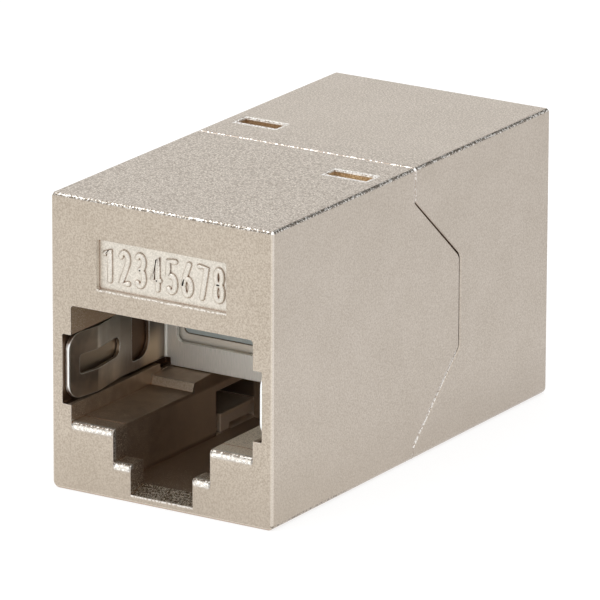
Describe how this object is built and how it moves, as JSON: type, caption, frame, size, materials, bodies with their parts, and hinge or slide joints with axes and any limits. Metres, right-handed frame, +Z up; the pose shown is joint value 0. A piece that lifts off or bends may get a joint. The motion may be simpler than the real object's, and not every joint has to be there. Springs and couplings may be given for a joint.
{
  "type": "inline coupler",
  "caption": "Shielded inline coupler: a cast metal block with a modular socket at each end that joins two patch cords.",
  "frame": {"origin": "middle of the base, where the coupler stands", "axes": "+X across, +Y from the front socket to the rear socket, +Z up; the sockets' latch side is down"},
  "size_m": [0.0144, 0.0294, 0.017],
  "materials": {
    "cast_nickel": "die-cast zinc alloy with a fine sand-textured nickel plating",
    "spring_steel": "brushed stainless spring steel",
    "insert_plastic": "pale blue-grey moulded plastic",
    "contact_gold": "gold-plated bronze",
    "board": "brown phenolic paper board"
  },
  "bodies": {
    "root": {"front_housing": "cast_nickel", "front_shield_clip": "spring_steel", "front_contact_insert": "insert_plastic", "front_contact_1": "contact_gold", "front_contact_2": "contact_gold", "front_contact_3": "contact_gold", "front_contact_4": "contact_gold", "front_contact_5": "contact_gold", "front_contact_6": "contact_gold", "front_contact_7": "contact_gold", "front_contact_8": "contact_gold", "rear_housing": "cast_nickel", "rear_shield_clip": "spring_steel", "rear_contact_insert": "insert_plastic", "rear_contact_1": "contact_gold", "rear_contact_2": "contact_gold", "rear_contact_3": "contact_gold", "rear_contact_4": "contact_gold", "rear_contact_5": "contact_gold", "rear_contact_6": "contact_gold", "rear_contact_7": "contact_gold", "rear_contact_8": "contact_gold", "link_board": "board"}
  },
  "joints": []
}
